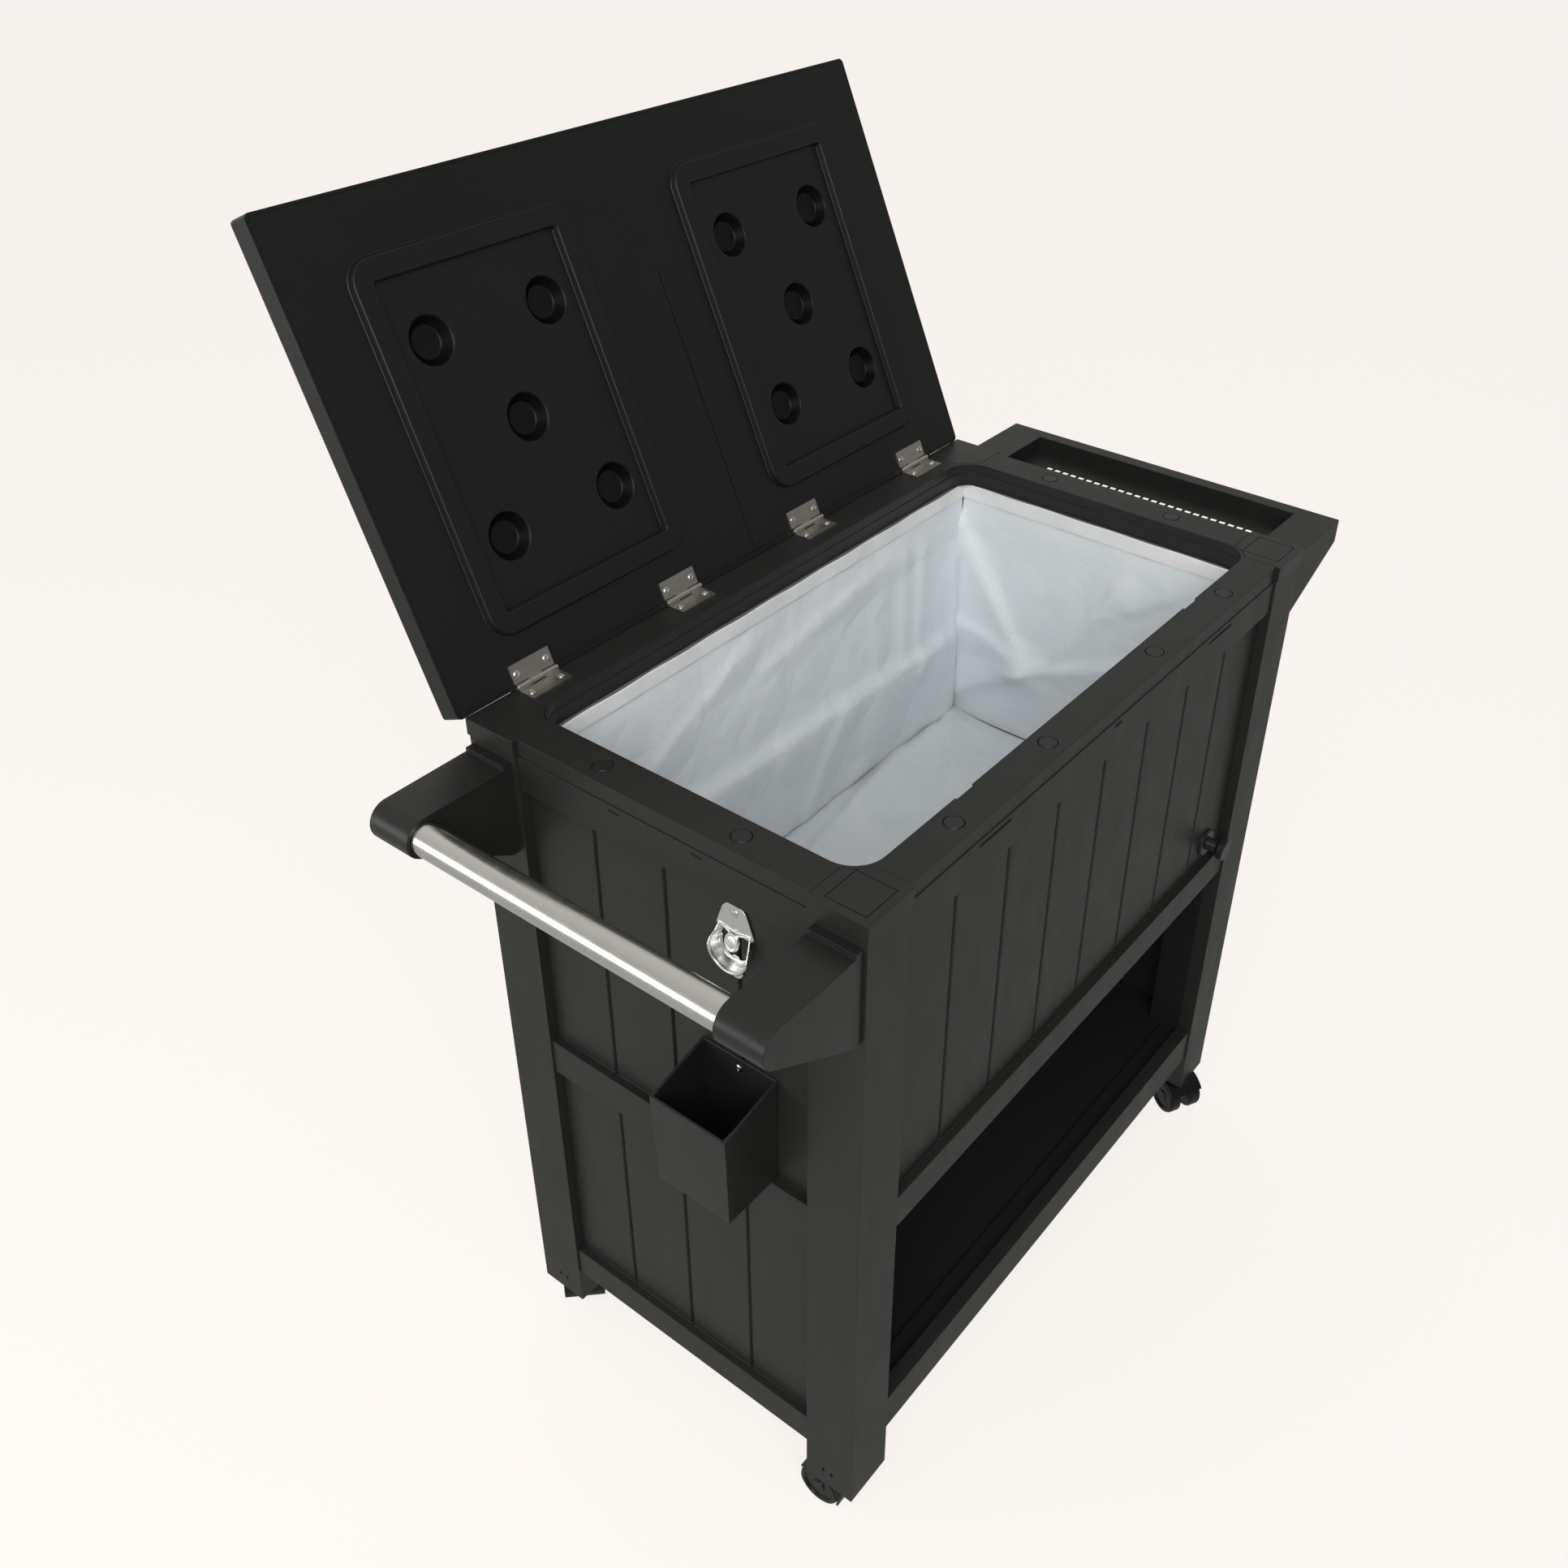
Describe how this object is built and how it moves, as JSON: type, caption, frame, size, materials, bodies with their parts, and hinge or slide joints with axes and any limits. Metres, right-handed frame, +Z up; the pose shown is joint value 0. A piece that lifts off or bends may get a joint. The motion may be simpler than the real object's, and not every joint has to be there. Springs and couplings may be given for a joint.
{
  "type": "patio cooler cart bar",
  "caption": "Rolling patio bar cart with an insulated fabric-lined tub, hinged lid, towel-bar handle, slotted side tray, bottle opener, cap catcher, drain and lower shelf.",
  "frame": {"origin": "on the floor under the wheels, at the middle of the cart's footprint with the lid open", "axes": "+Z up, +X from the handle end to the tray end, +Y from the drain side to the hinge side"},
  "size_m": [1.046, 0.6856, 1.2781],
  "materials": {
    "body_plastic": "fine satin grain",
    "lid_plastic": "smooth satin",
    "cap_plastic": "satin",
    "trim_plastic": "satin",
    "caster_plastic": "semi-gloss",
    "bar_steel": "brushed round the bar",
    "hinge_steel": "brushed",
    "screw_steel": "bright zinc",
    "opener_chrome": "polished",
    "foam": "closed-cell foam",
    "liner_cloth": "coated woven cloth"
  },
  "bodies": {
    "cart": {"post_front_left": "body_plastic", "post_front_right": "body_plastic", "post_rear_left": "body_plastic", "post_rear_right": "body_plastic", "cap_front_left": "cap_plastic", "cap_front_right": "cap_plastic", "cap_rear_left": "cap_plastic", "cap_rear_right": "cap_plastic", "rim_frame": "body_plastic", "rim_plugs": "trim_plastic", "front_panel": "body_plastic", "rear_panel": "body_plastic", "left_panel": "body_plastic", "right_panel": "body_plastic", "tub_board": "body_plastic", "foam_front": "foam", "foam_rear": "foam", "foam_left": "foam", "foam_right": "foam", "foam_floor": "foam", "liner": "liner_cloth", "shelf": "body_plastic", "shelf_rail_front": "body_plastic", "shelf_rail_rear": "body_plastic", "side_tray": "body_plastic", "handle_bracket_front": "trim_plastic", "handle_bracket_rear": "trim_plastic", "handle_bar": "bar_steel", "hinge_rim_leaves": "hinge_steel", "hinge_pins": "hinge_steel", "hinge_rim_screws": "screw_steel", "bottle_opener": "opener_chrome", "opener_screws": "screw_steel", "cap_catcher": "trim_plastic", "catcher_screw": "screw_steel", "drain_fitting": "trim_plastic", "caster_sockets": "caster_plastic", "caster_stems": "screw_steel"},
    "lid": {"lid_shell": "lid_plastic", "lid_inner_panel": "lid_plastic", "hinge_lid_leaves": "hinge_steel", "hinge_lid_screws": "screw_steel"},
    "drain_knob": {"drain_knob": "trim_plastic"},
    "caster_front_left": {"hood_front_left": "caster_plastic", "axle_front_left": "screw_steel"},
    "wheel_front_left_a": {"wheel_front_left_a": "caster_plastic"},
    "wheel_front_left_b": {"wheel_front_left_b": "caster_plastic"},
    "caster_front_right": {"hood_front_right": "caster_plastic", "axle_front_right": "screw_steel"},
    "wheel_front_right_a": {"wheel_front_right_a": "caster_plastic"},
    "wheel_front_right_b": {"wheel_front_right_b": "caster_plastic"},
    "caster_rear_left": {"hood_rear_left": "caster_plastic", "axle_rear_left": "screw_steel"},
    "wheel_rear_left_a": {"wheel_rear_left_a": "caster_plastic"},
    "wheel_rear_left_b": {"wheel_rear_left_b": "caster_plastic"},
    "caster_rear_right": {"hood_rear_right": "caster_plastic", "axle_rear_right": "screw_steel"},
    "wheel_rear_right_a": {"wheel_rear_right_a": "caster_plastic"},
    "wheel_rear_right_b": {"wheel_rear_right_b": "caster_plastic"}
  },
  "joints": [
    {"name": "lid_hinge", "type": "hinge", "parent": "cart", "child": "lid", "pos_m": [-0.009, 0.12971, 0.8583], "axis": [1, 0, 0], "range_deg": [0, 114.7]},
    {"name": "drain_turn", "type": "hinge", "parent": "cart", "child": "drain_knob", "pos_m": [0.293, -0.34029, 0.502], "axis": [0, -1, 0], "range_deg": [0, 90]},
    {"name": "swivel_front_left", "type": "hinge", "parent": "cart", "child": "caster_front_left", "pos_m": [-0.3705, -0.29379, 0.055], "axis": [0, 0, 1], "continuous": true},
    {"name": "roll_front_left_a", "type": "hinge", "parent": "caster_front_left", "child": "wheel_front_left_a", "pos_m": [-0.3705, -0.27479, 0.025], "axis": [-1, 0, 0], "continuous": true},
    {"name": "roll_front_left_b", "type": "hinge", "parent": "caster_front_left", "child": "wheel_front_left_b", "pos_m": [-0.3705, -0.27479, 0.025], "axis": [-1, 0, 0], "continuous": true},
    {"name": "swivel_front_right", "type": "hinge", "parent": "cart", "child": "caster_front_right", "pos_m": [0.3665, -0.29379, 0.055], "axis": [0, 0, 1], "continuous": true},
    {"name": "roll_front_right_a", "type": "hinge", "parent": "caster_front_right", "child": "wheel_front_right_a", "pos_m": [0.35758, -0.31056, 0.025], "axis": [0.8829, -0.4695, 0], "continuous": true},
    {"name": "roll_front_right_b", "type": "hinge", "parent": "caster_front_right", "child": "wheel_front_right_b", "pos_m": [0.35758, -0.31056, 0.025], "axis": [0.8829, -0.4695, 0], "continuous": true},
    {"name": "swivel_rear_left", "type": "hinge", "parent": "cart", "child": "caster_rear_left", "pos_m": [-0.3705, 0.10321, 0.055], "axis": [0, 0, 1], "continuous": true},
    {"name": "roll_rear_left_a", "type": "hinge", "parent": "caster_rear_left", "child": "wheel_rear_left_a", "pos_m": [-0.35707, 0.11665, 0.025], "axis": [-0.7071, 0.7071, 0], "continuous": true},
    {"name": "roll_rear_left_b", "type": "hinge", "parent": "caster_rear_left", "child": "wheel_rear_left_b", "pos_m": [-0.35707, 0.11665, 0.025], "axis": [-0.7071, 0.7071, 0], "continuous": true},
    {"name": "swivel_rear_right", "type": "hinge", "parent": "cart", "child": "caster_rear_right", "pos_m": [0.3665, 0.10321, 0.055], "axis": [0, 0, 1], "continuous": true},
    {"name": "roll_rear_right_a", "type": "hinge", "parent": "caster_rear_right", "child": "wheel_rear_right_a", "pos_m": [0.376, 0.11967, 0.025], "axis": [-0.866, 0.5, 0], "continuous": true},
    {"name": "roll_rear_right_b", "type": "hinge", "parent": "caster_rear_right", "child": "wheel_rear_right_b", "pos_m": [0.376, 0.11967, 0.025], "axis": [-0.866, 0.5, 0], "continuous": true}
  ]
}
